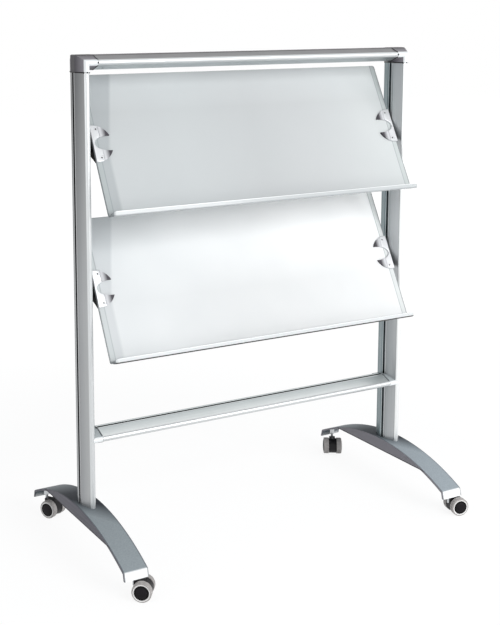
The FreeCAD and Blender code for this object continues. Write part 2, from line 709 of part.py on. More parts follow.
def top_corner_trim(side):
    """Cutter that rounds an upper corner of the sheet."""
    corner = V(side * SHEET_HALF, SHEET_ABOVE, 0)
    centre = corner - V(side * SHEET_CORNER, SHEET_CORNER, 0)
    low = V(min(centre.x, centre.x + side * 2 * SHEET_CORNER), centre.y, 0)
    square = box(low, low + V(2 * SHEET_CORNER, 2 * SHEET_CORNER, 2 * SHEET_OFFSET))
    return square.cut(rod(SHEET_CORNER, centre, centre + AXIS_Z * (2 * SHEET_OFFSET)))


def jaw_disc(side, low, high):
    """Disc of a clamp, cut off at the edge of the sheet."""
    centre = V(side * (SHEET_HALF - JAW_INSET), 0, 0)
    disc = rod(JAW_RADIUS, centre + AXIS_Z * low, centre + AXIS_Z * high)
    return disc.common(slab(side, 0, 2 * JAW_RADIUS, low, high))


def mouth_cutter(side, low, high):
    """Elliptical mouth between the two lobes of a clamp."""
    ellipse = Part.Ellipse(V(0, 0, 0), MOUTH_HALF_LENGTH, MOUTH_HALF_HEIGHT).toShape()
    body = face_of([ellipse]).extrude(AXIS_Z * (high - low))
    return body.translated(V(side * (SHEET_HALF - MOUTH_CENTRE), 0, low))


def slab(side, start, end, low, high):
    """Everything between two distances inboard of the sheet's edge."""
    near_x = side * (SHEET_HALF - start)
    far_x = side * (SHEET_HALF - end)
    reach = 2 * JAW_RADIUS
    return box(V(min(near_x, far_x), -reach, low), V(max(near_x, far_x), reach, high))


def screw_places(side):
    return [V(side * (SHEET_HALF - SCREW_INSET), lobe * SCREW_OFFSET, 0) for lobe in BOTH]


def jaw(side):
    """C-shaped front jaw with softened front edges."""
    low, high = SHEET_OFFSET, JAW_TOP
    body = jaw_disc(side, low, high).cut(mouth_cutter(side, low, high))
    body = tidy(body.common(slab(side, 0, JAW_SILVER_WIDTH, low, high)))
    body = body.makeFillet(JAW_EDGE, edges_where(body, lambda p: near(p.z, high)))
    for place in screw_places(side):
        hole = SCREW_DIAMETER / 2 + SCREW_CLEARANCE
        body = body.cut(rod(hole, place + AXIS_Z * (low - OVER), place + AXIS_Z * (high + OVER)))
        body = body.cut(screw_head(place, SCREW_CLEARANCE, SCREW_SUNK + OVER))
    return tidy(body)


def pads(side):
    """The two dark pads that finish the lobes of a jaw."""
    low, high = SHEET_OFFSET, SHEET_OFFSET + PAD_THICK
    body = jaw_disc(side, low, high).cut(mouth_cutter(side, low, high))
    body = body.common(slab(side, JAW_SILVER_WIDTH + PAD_GAP, 2 * JAW_RADIUS, low, high))
    return [tidy(pad) for pad in body.Solids]


def screw_head(place, clearance, rise):
    """Countersunk cone, made larger by a clearance, with a straight stretch above its rim."""
    rim = place + AXIS_Z * (JAW_TOP - SCREW_SUNK)
    foot_radius = SCREW_DIAMETER / 2 + clearance
    rim_radius = SCREW_HEAD_DIAMETER / 2 + clearance
    cone = Part.makeCone(foot_radius, rim_radius, SCREW_HEAD_HIGH, rim - AXIS_Z * SCREW_HEAD_HIGH)
    return tidy(cone.fuse(rod(rim_radius, rim, rim + AXIS_Z * rise))) if rise > 0 else cone


def clamp_screw(place):
    """Countersunk screw through jaw and sheet into the housing."""
    top = place + AXIS_Z * (JAW_TOP - SCREW_SUNK)
    shank = rod(SCREW_DIAMETER / 2, place + AXIS_Z * (SHEET_BACK - SCREW_REACH), top - AXIS_Z * SCREW_HEAD_HIGH)
    socket = hexagon(SCREW_SOCKET, top - AXIS_Z * SCREW_SOCKET_DEPTH, top + AXIS_Z * OVER)
    return tidy(screw_head(place, 0, 0).fuse(shank)).cut(socket).Solids[0]


def housing_form(side, shrink, low_shrink):
    """Half of a waisted cone behind the sheet; shrink moves its skin inwards."""
    base = SHEET_BACK
    rim = base - HOUSING_RIM
    waist = base - HOUSING_WAIST_DEPTH
    tip = base - HOUSING_DEPTH + low_shrink
    edges = [
        line(V(0, 0, base), V(HOUSING_BASE_RADIUS - shrink, 0, base)),
        line(V(HOUSING_BASE_RADIUS - shrink, 0, base), V(HOUSING_BASE_RADIUS - shrink, 0, rim)),
        arc(
            V(HOUSING_BASE_RADIUS - shrink, 0, rim),
            V(HOUSING_WAIST_RADIUS - shrink, 0, waist),
            V(HOUSING_TIP_RADIUS - shrink, 0, tip),
        ),
        line(V(HOUSING_TIP_RADIUS - shrink, 0, tip), V(0, 0, tip)),
        line(V(0, 0, tip), V(0, 0, base)),
    ]
    half = face_of(edges).revolve(V(0, 0, 0), AXIS_Z, 180)
    half = half.Solids[0] if half.Solids else Part.Solid(half.Shells[0])
    return half.rotated(V(0, 0, 0), AXIS_Z, side * 90).translated(V(side * SHEET_HALF, 0, 0))


def housing(side):
    """Black shell with a boss for the pivot pin and one for each clamp screw."""
    outer = housing_form(side, 0, 0)
    cavity = housing_form(side, HOUSING_WALL, HOUSING_WALL)
    cavity = cavity.common(slab(side, HOUSING_FACE, HOUSING_BASE_RADIUS, -FAR / 4, FAR / 4))
    shell = outer.cut(cavity)
    edge_x = side * SHEET_HALF
    boss = rod(BOSS_RADIUS, V(edge_x, 0, 0), V(edge_x - side * (PIN_LENGTH + HOUSING_WALL), 0, 0))
    bosses = [boss.common(outer)]
    for place in screw_places(side):
        column = rod(SCREW_BOSS_RADIUS, place - AXIS_Z * HOUSING_DEPTH, place + AXIS_Z * SHEET_BACK)
        bosses.append(column.common(outer))
    body = shell.fuse(bosses)
    pin_end = edge_x - side * (PIN_LENGTH + RUNNING_GAP)
    bore = rod(PIN_DIAMETER / 2 + RUNNING_FIT, V(edge_x + side * OVER, 0, 0), V(pin_end, 0, 0))
    body = body.cut(bore)
    for place in screw_places(side):
        start = place + AXIS_Z * (SHEET_BACK - SCREW_REACH)
        body = body.cut(rod(SCREW_DIAMETER / 2, start, place + AXIS_Z * (SHEET_BACK + OVER)))
    return tidy(body)


def slot_nut(side, pivot_height):
    """Nut in the slot of the post, threaded on the neck of the pivot pin."""
    half_y = NUT_WIDTH / 2
    body = box(
        V(NUT_FACE_X, -half_y, pivot_height - NUT_LENGTH / 2),
        V(NUT_FACE_X + NUT_THICK, half_y, pivot_height + NUT_LENGTH / 2),
    )
    hole = rod(NECK_DIAMETER / 2, V(0, 0, pivot_height), V(FAR / 4, 0, pivot_height))
    body = body.cut(hole)
    return tidy(body if side > 0 else body.mirror(V(0, 0, 0), AXIS_X))


def pivot_pin(side, pivot_height):
    """Pin whose shoulder carries the housing and whose neck passes the slot to the nut."""
    shoulder = rod(
        PIN_DIAMETER / 2,
        V(SHEET_HALF - PIN_LENGTH, 0, pivot_height),
        V(WASHER_INNER_X, 0, pivot_height),
    )
    neck = rod(
        NECK_DIAMETER / 2,
        V(WASHER_INNER_X - OVER, 0, pivot_height),
        V(NUT_FACE_X + NUT_THICK, 0, pivot_height),
    )
    body = tidy(shoulder.fuse(neck))
    return body if side > 0 else body.mirror(V(0, 0, 0), AXIS_X)


def spacer_washer(side, pivot_height):
    """Spacer between the housing and the ridge of the post."""
    start = V(WASHER_INNER_X, 0, pivot_height)
    end = V(WASHER_OUTER_X, 0, pivot_height)
    body = rod(WASHER_DIAMETER / 2, start, end).cut(rod(NECK_DIAMETER / 2, start, end))
    return body.Solids[0] if side > 0 else body.Solids[0].mirror(V(0, 0, 0), AXIS_X)


# ---- Write every node -----------------------------------------------------------------------

os.makedirs("parts", exist_ok=True)

feet = {name: foot(side) for name, side in SIDES.items()}
for name, side in SIDES.items():
    save(post(side), name + "_post")
    save(elbow(side), name + "_elbow")
    save(crossbar_fitting(side), name + "_crossbar_fitting")
    save(feet[name], name + "_foot")
save(top_bar(), "top_bar")
save(bar(CROSSBAR_HEIGHT), "lower_crossbar")
save([elbow_key(side, depth) for side in BOTH for depth in BOTH], "elbow_keys")
grub_ends = [post_grub_ends(side) for side in BOTH]
grub_ends += [bar_grub_ends(side, depth) for side in BOTH for depth in BOTH]
save([rod(GRUB_DIAMETER / 2, ends[0], ends[1]) for ends in grub_ends], "elbow_grub_screws")
save([crossbar_bolt(side) for side in BOTH], "crossbar_bolts")
save([post_plug(side, depth) for side in BOTH for depth in BOTH], "post_plugs")
save([foot_bolt(side, depth) for side in BOTH for depth in BOTH], "foot_bolts")

stems = []
for corner in CASTER_HEADINGS:
    stems.append(caster_stem(corner, feet[corner.split("_")[1]]))
    save(turned_caster(caster_hood(), corner), corner + "_caster_hood")
    save(turned_caster(caster_axle(), corner), corner + "_caster_axle")
    for label, turn in (("outer", 0), ("inner", 180)):
        middle = V(0, CASTER_TRAIL, WHEEL_RADIUS)
        for piece, shape in (("tyre", tyre()), ("hub", hub())):
            placed = turned_caster(shape.rotated(middle, AXIS_Z, turn), corner)
            save(placed, corner + "_" + label + "_" + piece)
save(stems, "caster_stems")

for level, height in (("upper", UPPER_PIVOT_HEIGHT), ("lower", LOWER_PIVOT_HEIGHT)):
    save(on_shelf(shelf_sheet(), height), level + "_shelf_sheet")
    all_pads = []
    screws = []
    for name, side in SIDES.items():
        save(on_shelf(jaw(side), height), level + "_" + name + "_clamp_jaw")
        save(on_shelf(housing(side), height), level + "_" + name + "_pivot_housing")
        all_pads += [on_shelf(pad, height) for pad in pads(side)]
        screws += [on_shelf(clamp_screw(place), height) for place in screw_places(side)]
    save(all_pads, level + "_clamp_pads")
    save(screws, level + "_clamp_screws")
    save([slot_nut(side, height) for side in BOTH], level + "_slot_nuts")
    save([pivot_pin(side, height) for side in BOTH], level + "_pivot_pins")
    save([spacer_washer(side, height) for side in BOTH], level + "_spacer_washers")
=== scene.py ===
import json
import math

import bmesh
import bpy
from mathutils import Matrix, Vector


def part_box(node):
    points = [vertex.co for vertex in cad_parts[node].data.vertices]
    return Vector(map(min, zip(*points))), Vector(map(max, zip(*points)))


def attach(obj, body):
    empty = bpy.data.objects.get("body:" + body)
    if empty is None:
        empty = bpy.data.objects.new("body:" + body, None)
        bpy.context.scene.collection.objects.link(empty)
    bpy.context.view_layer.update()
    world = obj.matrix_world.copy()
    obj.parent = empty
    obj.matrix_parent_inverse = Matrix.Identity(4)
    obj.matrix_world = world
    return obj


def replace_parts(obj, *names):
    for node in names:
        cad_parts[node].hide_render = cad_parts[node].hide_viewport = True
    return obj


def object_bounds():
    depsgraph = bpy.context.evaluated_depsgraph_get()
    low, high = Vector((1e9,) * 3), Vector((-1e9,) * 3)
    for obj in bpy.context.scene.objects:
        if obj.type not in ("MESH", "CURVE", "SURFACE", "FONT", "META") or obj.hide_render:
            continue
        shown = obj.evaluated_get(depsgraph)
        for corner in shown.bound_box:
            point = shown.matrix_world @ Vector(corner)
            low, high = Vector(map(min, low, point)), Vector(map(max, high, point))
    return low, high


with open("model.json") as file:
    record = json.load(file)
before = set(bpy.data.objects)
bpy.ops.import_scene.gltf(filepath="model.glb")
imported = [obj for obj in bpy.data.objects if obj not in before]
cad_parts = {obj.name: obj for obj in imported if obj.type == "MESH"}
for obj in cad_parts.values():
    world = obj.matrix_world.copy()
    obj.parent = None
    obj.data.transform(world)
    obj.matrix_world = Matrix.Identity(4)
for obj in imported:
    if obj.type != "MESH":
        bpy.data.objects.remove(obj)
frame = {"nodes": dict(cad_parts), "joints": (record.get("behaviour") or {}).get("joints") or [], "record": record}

# Periodical display rack: slotted aluminium posts and bars, cast elbows, arched feet on
# twin-wheel casters, and two tilting opal sheets held by clamps.
# Metres. X runs across the rack, the front faces -Y, Z is up from the floor.

cad_low, cad_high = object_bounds()

MM = 0.001
BODY_OF = {
    node: body
    for body, nodes in frame["record"]["behaviour"]["bodies"].items()
    for node in nodes
}
SLOT_OF = {part["node"]: part["material_slot"] for part in frame["record"]["subparts"]}
JOINTS = {joint["name"]: joint for joint in frame["joints"]}


def box_of(node):
    low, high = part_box(node)
    return Vector(low), Vector(high)


def middle_of(node):
    low, high = box_of(node)
    return (low + high) / 2


post_low, post_high = box_of("right_post")
foot_low, foot_high = box_of("right_foot")
POST_X = middle_of("right_post").x
SECTION_HALF = (post_high.x - post_low.x) / 2
BAR_Z = middle_of("top_bar").z
CROSSBAR_Z = middle_of("lower_crossbar").z
POST_TOP = post_high.z
BAR_END = box_of("top_bar")[1].x
CROSSBAR_END = box_of("lower_crossbar")[1].x
FOOT_HALF = (foot_high.x - foot_low.x) / 2
SHEET_HALF = 455.5 * MM        # the tray flares a little wider than the sheet
LIP_START = 271.7 * MM         # the foot's top bends down into its lip here
SKIRT_FOOT = 100 * MM          # lower edge of the foot's skirts
RIDGE_DEPTH = 12 * MM          # the section's flat ridge ends here
NOSE_START = 39.9 * MM         # its rounded nose starts here
NOSE_CENTRE = 37.1 * MM
NOSE_RADIUS = 7.5 * MM
SLOT_HALF = 4 * MM


# ---- Nodes and materials --------------------------------------------------------------------

COLOUR_MIX = {"data_type": "RGBA"}
ABSOLUTE = {"operation": "ABSOLUTE"}
SUBTRACT = {"operation": "SUBTRACT"}
MULTIPLY = {"operation": "MULTIPLY"}
MULTIPLY_ADD = {"operation": "MULTIPLY_ADD"}
LARGER = {"operation": "MAXIMUM"}


def linear(code):
    """sRGB hex, such as "c0c4c6", as a linear colour with alpha 1."""
    values = [int(code[i:i + 2], 16) / 255 for i in (0, 2, 4)]
    return [v / 12.92 if v <= 0.04045 else ((v + 0.055) / 1.055) ** 2.4 for v in values] + [1.0]


def add_node(tree, kind, settings=None, **sockets):
    """Add a shader node with its settings and links, and return it.

    A socket takes a number, an sRGB hex colour, another node or one of its outputs. It goes
    by its name with _ for a space, or by its number, as i0, where several share a name. In a
    colour mix i0 is the share of the second colour, and i6 and i7 are the two colours.
    """
    made = tree.nodes.new("ShaderNode" + kind)
    for name, value in (settings or {}).items():
        setattr(made, name, value)
    for name, value in sockets.items():
        key = int(name[1:]) if name[0] == "i" and name[1:].isdigit() else name.replace("_", " ")
        if isinstance(value, str):
            value = linear(value)
        if isinstance(value, bpy.types.Node):
            value = value.outputs[2 if value.bl_idname == "ShaderNodeMix" else 0]
        if isinstance(value, bpy.types.NodeSocket):
            tree.links.new(value, made.inputs[key])
        else:
            made.inputs[key].default_value = value
    return made


def new_material(name):
    """Empty material, its node tree and the piece's own coordinates."""
    material = bpy.data.materials.new(name)
    material.use_nodes = True
    tree = material.node_tree
    tree.nodes.clear()
    return material, tree, add_node(tree, "TexCoord").outputs["Object"]


def finish_material(tree, relief, relief_mm, strength, **sockets):
    """End a material with a shader, its fine relief and the output."""
    normal = add_node(tree, "Bump", Height=relief, Distance=relief_mm * MM, Strength=strength)
    shader = add_node(tree, "BsdfPrincipled", Normal=normal, **sockets)
    add_node(tree, "OutputMaterial", Surface=shader)


def patch_noise(tree, place, size_mm, detail=2.0, stretch=(1, 1, 1)):
    """Soft noise whose patches are about size_mm across, stretched along chosen axes."""
    scale = [1 / (size_mm * MM * s) for s in stretch]
    scaled = add_node(tree, "Mapping", Vector=place, Scale=scale)
    return add_node(tree, "TexNoise", Vector=scaled, Scale=1.0, Detail=detail)


def off_plane(tree, place, axis, plane=0.0):
    """Distance from the middle across an axis, or from the two planes that far out from it."""
    split = add_node(tree, "SeparateXYZ", Vector=place)
    out = add_node(tree, "Math", ABSOLUTE, i0=split.outputs[axis])
    if not plane:
        return out
    past = add_node(tree, "Math", SUBTRACT, i0=out, i1=plane)
    return add_node(tree, "Math", ABSOLUTE, i0=past)


def line_at(tree, value, centre, half_mm, share=1.0):
    """share within half_mm of a centre value, 0 elsewhere, with soft edges."""
    soft = 0.3 * MM
    half = half_mm * MM
    past = add_node(tree, "Math", SUBTRACT, i0=value, i1=centre)
    gap = add_node(tree, "Math", ABSOLUTE, i0=past)
    return add_node(
        tree, "MapRange", Value=gap, From_Min=half - soft, From_Max=half + soft, To_Min=share, To_Max=0.0
    )


# The die line grey also draws the painted shade line beside the nose; the slot's near black is painted shade.
DIE_LINE_AND_CREASE_SHADE_GREY = "5f6265"
SLOT_SHADE_BLACK = "0b0b0d"


def lens_metal(
    name, along, tones, middle=None, lower=None, top_dark=0.0, nose_line=0.1,
    rear=None, ridge_depth=RIDGE_DEPTH, coat=False,
):
    """Satin metal on the lens section, with light and shade painted into its colour.

    along is the axis that the die lines of an extrusion run along; a coated casting has none.
    tones are those of the ridge, beyond the ridge, beside the nose and on the nose; the greyer
    ridge and flats are painted shade and the bright nose is a painted highlight. middle gives
    the axis across the section's thickness and how far out its middle is, for the painted shade
    inside the slot. lower is the tone of a bar's underside, painted apart from its top by how
    light falls on it. top_dark is painted shade that darkens the flats towards the top of an
    upright, nose_line is how dark the painted shade line beside the nose is, and rear is the
    painted reflection tone of the inner flat behind the slot of an upright.
    """
    ridge, inner, side, nose = tones
    material, tree, place = new_material(name)
    split = add_node(tree, "SeparateXYZ", Vector=place)
    height = split.outputs["Z"]
    depth = off_plane(tree, place, "Y")
    # Painted shade: the ridge and the flats near it are greyer than the flats near the nose.
    across = add_node(tree, "MapRange", Value=depth, From_Min=RIDGE_DEPTH, From_Max=NOSE_START)
    colour = add_node(tree, "Mix", COLOUR_MIX, i0=across, i6=inner, i7=side)
    past_ridge = add_node(
        tree, "MapRange", Value=depth, From_Min=ridge_depth - 0.3 * MM, From_Max=ridge_depth + 0.6 * MM
    )
    colour = add_node(tree, "Mix", COLOUR_MIX, i0=past_ridge, i6=ridge, i7=colour)
    # Painted light and shade: a bar's underside gets its own tone.
    if lower:
        under = add_node(
            tree, "MapRange", Value=height, From_Min=middle[1] - 0.5 * MM,
            From_Max=middle[1] + 0.5 * MM, To_Min=1.0, To_Max=0.0,
        )
        colour = add_node(tree, "Mix", COLOUR_MIX, i0=under, i6=colour, i7=lower)
    # Painted shade: the flats darken towards the top of an upright.
    if top_dark:
        dark_from, dark_to = 0.65, 1.2
        upwards = add_node(
            tree, "MapRange", Value=height, From_Min=dark_from, From_Max=dark_to, To_Max=top_dark
        )
        outwards = add_node(
            tree, "MapRange", Value=depth, From_Min=RIDGE_DEPTH, From_Max=NOSE_START,
            To_Min=1.0, To_Max=0.65,
        )
        share = add_node(tree, "Math", MULTIPLY, i0=upwards, i1=outwards)
        colour = add_node(tree, "Mix", COLOUR_MIX, i0=share, i6=colour, i7="000000")
    # Painted reflection: a darker tone on the inner flat behind the slot.
    if rear:
        behind = add_node(tree, "MapRange", Value=split.outputs["Y"], From_Min=0.0, From_Max=2 * MM)
        inward = add_node(
            tree, "MapRange", Value=off_plane(tree, place, "X"), From_Min=POST_X - MM,
            From_Max=POST_X + MM, To_Min=1.0, To_Max=0.0,
        )
        share = add_node(tree, "Math", MULTIPLY, i0=behind, i1=inward)
        colour = add_node(tree, "Mix", COLOUR_MIX, i0=share, i6=colour, i7=rear)
    line_width_mm = 1.2        # the real die lines are finer; drawn as coarse as they show
    line_length = 1 if coat else 400
    stretch = [line_length if axis == along else 1 for axis in "xyz"]
    lines = patch_noise(tree, place, line_width_mm, 3.0, stretch)
    streak = add_node(tree, "MapRange", Value=lines, From_Min=0.35, From_Max=0.65, To_Max=0.12)
    colour = add_node(tree, "Mix", COLOUR_MIX, i0=streak, i6=colour, i7=DIE_LINE_AND_CREASE_SHADE_GREY)
    if coat:
        # Painted shade: a dark line along the top edge of the elbows.
        top_edge_shade = add_node(
            tree, "MapRange", Value=height, From_Min=cad_high[2] - 2.6 * MM,
            From_Max=cad_high[2] - 1.8 * MM, To_Max=0.8,
        )
        colour = add_node(tree, "Mix", COLOUR_MIX, i0=top_edge_shade, i6=colour, i7="1d1b1f")
    else:
        # Painted highlight: a bright line beside the mouth of the slot.
        slot_edge_highlight = line_at(tree, depth, 6.4 * MM, 0.9, 0.6)
        colour = add_node(tree, "Mix", COLOUR_MIX, i0=slot_edge_highlight, i6=colour, i7="e9ebec")
    # Painted shade: a dark line where the flat meets the nose.
    nose_crease_shade = line_at(tree, depth, NOSE_START - 1.2 * MM, 0.9, nose_line)
    colour = add_node(tree, "Mix", COLOUR_MIX, i0=nose_crease_shade, i6=colour, i7=DIE_LINE_AND_CREASE_SHADE_GREY)
    # Painted highlight: the nose gets its bright tone.
    nose_highlight_share = add_node(
        tree, "MapRange", Value=depth, From_Min=NOSE_START - 0.4 * MM, From_Max=NOSE_START + 0.4 * MM
    )
    colour = add_node(tree, "Mix", COLOUR_MIX, i0=nose_highlight_share, i6=colour, i7=nose)
    # Painted shade: the inside of the slot and a narrow band along its mouth are near black.
    if middle:
        inside = add_node(
            tree, "MapRange", Value=off_plane(tree, place, *middle), From_Min=SECTION_HALF - 0.7 * MM,
            From_Max=SECTION_HALF - 0.2 * MM, To_Min=1.0, To_Max=0.0,
        )
        in_mouth = add_node(
            tree, "MapRange", Value=depth, From_Min=SLOT_HALF + 0.7 * MM,
            From_Max=SLOT_HALF + 1.2 * MM, To_Min=1.0, To_Max=0.0,
        )
        slot_shade = add_node(tree, "Math", MULTIPLY, i0=inside, i1=in_mouth)
        colour = add_node(tree, "Mix", COLOUR_MIX, i0=slot_shade, i6=colour, i7=SLOT_SHADE_BLACK)
    cloud = patch_noise(tree, place, 90.0)
    rough = add_node(
        tree, "MapRange", Value=cloud, From_Min=0.3, From_Max=0.7, To_Min=0.34, To_Max=0.44
    )
    finish_material(
        tree, lines, 0.02, 0.4, Base_Color=colour, Roughness=rough,
        Metallic=0.1 if coat else 0.8, Specular_IOR_Level=0.25 if coat else 0.5,
    )
    return material


def foot_coat(name, side, front, rear, skirt, lip_highlight):
    """Silver powder coat on the feet, with light and shade painted into its colour.

    Painted shade and a painted reflection of the post darken the top round the post and towards
    the rear, painted shade darkens the skirts and lines along their bend and foot, and a painted
    highlight makes the lips pale. side is -1 for the left foot and 1 for the right one.
    """
    slant = 1.2                # how much further back the dark zone starts per metre across
    material, tree, place = new_material(name)
    split = add_node(tree, "SeparateXYZ", Vector=place)
    depth = split.outputs["Y"]
    grain = patch_noise(tree, place, 1.4, 3.0)
    speckle = patch_noise(tree, place, 3.5, 4.0)
    # Painted shade and a painted reflection of the post: darker round the post and towards the rear, fading again
    # far behind it.
    slanted = add_node(
        tree, "Math", MULTIPLY_ADD, i0=off_plane(tree, place, "X"), i1=slant * side,
        i2=-slant * side * POST_X,
    )
    along = add_node(tree, "Math", {"operation": "ADD"}, i0=depth, i1=slanted)
    towards_rear = add_node(tree, "MapRange", Value=along, From_Min=-0.10, From_Max=0.0)
    fading = add_node(
        tree, "MapRange", Value=depth, From_Min=0.08, From_Max=0.2, To_Min=1.0, To_Max=0.4
    )
    shade_share = add_node(tree, "Math", MULTIPLY, i0=towards_rear, i1=fading)
    colour = add_node(tree, "Mix", COLOUR_MIX, i0=shade_share, i6=front, i7=rear)
    grainy = add_node(tree, "MapRange", Value=speckle, From_Min=0.35, From_Max=0.65, To_Max=0.16)
    colour = add_node(tree, "Mix", COLOUR_MIX, i0=grainy, i6=colour, i7="50555a")
    # Painted highlight: the lips are pale.
    on_lip = add_node(
        tree, "MapRange", Value=off_plane(tree, place, "Y"), From_Min=LIP_START - 3 * MM,
        From_Max=LIP_START + 0.5 * MM,
    )
    colour = add_node(tree, "Mix", COLOUR_MIX, i0=on_lip, i6=colour, i7=lip_highlight)
    outer = off_plane(tree, place, "X", POST_X)
    # Painted shade: a dark line along the bend into the skirt.
    bend_shade_line = line_at(tree, outer, FOOT_HALF - 1.9 * MM, 1.1, 0.7)
    colour = add_node(tree, "Mix", COLOUR_MIX, i0=bend_shade_line, i6=colour, i7="4b4f55")
    # Painted shade makes the skirts darker than the top; brushed streaks run along them.
    brushed = patch_noise(tree, place, 5.0, 3.0, (1, 40, 1))
    streak = add_node(tree, "MapRange", Value=brushed, From_Min=0.35, From_Max=0.65, To_Max=0.3)
    plain = add_node(tree, "Mix", COLOUR_MIX, i0=streak, i6=skirt, i7="8a888c")
    # Painted shade: a dark line along the foot of the skirt.
    skirt_foot_shade = line_at(tree, split.outputs["Z"], SKIRT_FOOT + 1.2 * MM, 1.6, 0.8)
    plain = add_node(tree, "Mix", COLOUR_MIX, i0=skirt_foot_shade, i6=plain, i7="2b2a2f")
    on_skirt = add_node(
        tree, "MapRange", Value=outer, From_Min=FOOT_HALF - 1.0 * MM, From_Max=FOOT_HALF - 0.5 * MM
    )
    colour = add_node(tree, "Mix", COLOUR_MIX, i0=on_skirt, i6=colour, i7=plain)
    rough = add_node(
        tree, "MapRange", Value=grain, From_Min=0.3, From_Max=0.7, To_Min=0.4, To_Max=0.52
    )
    finish_material(
        tree, grain, 0.03, 0.5, Base_Color=colour, Roughness=rough, Specular_IOR_Level=0.05
    )
    return material


def powder_coat(name, tone, shade, rough_low, rough_high, metallic):
    """Satin powder coat over metal: faint orange peel and a pearly grey."""
    material, tree, place = new_material(name)
    grain = patch_noise(tree, place, 0.9, 2.0)
    cloud = patch_noise(tree, place, 60.0)
    cloudy = add_node(tree, "MapRange", Value=cloud, From_Min=0.35, From_Max=0.65)
    colour = add_node(tree, "Mix", COLOUR_MIX, i0=cloudy, i6=tone, i7=shade)
    rough = add_node(
        tree, "MapRange", Value=grain, From_Min=0.3, From_Max=0.7, To_Min=rough_low, To_Max=rough_high
    )
    finish_material(
        tree, grain, 0.03, 0.4, Base_Color=colour, Roughness=rough, Metallic=metallic
    )
    return material


def rim_of(node):
    """Depth where the tray's rim starts, and the heights of its foot and top."""
    low = box_of(node)[0]
    front = [v.co.z for v in frame["nodes"][node].data.vertices if v.co.y < low.y + 3 * MM]
    return low.y + 7 * MM, min(front), max(front)


# Inside each end of a sheet lies a painted reflection of the upright, a grey strip with a line, and along its left
# end a margin of painted shade.
STRIP_WIDTH = 15.5 * MM        # from the end of a sheet to the line inside it
MARGIN_ENDS = (-0.421, -0.413)
MARGIN_SPREAD = (0.2, 0.0536)  # so far above the bend the margin is this much wider


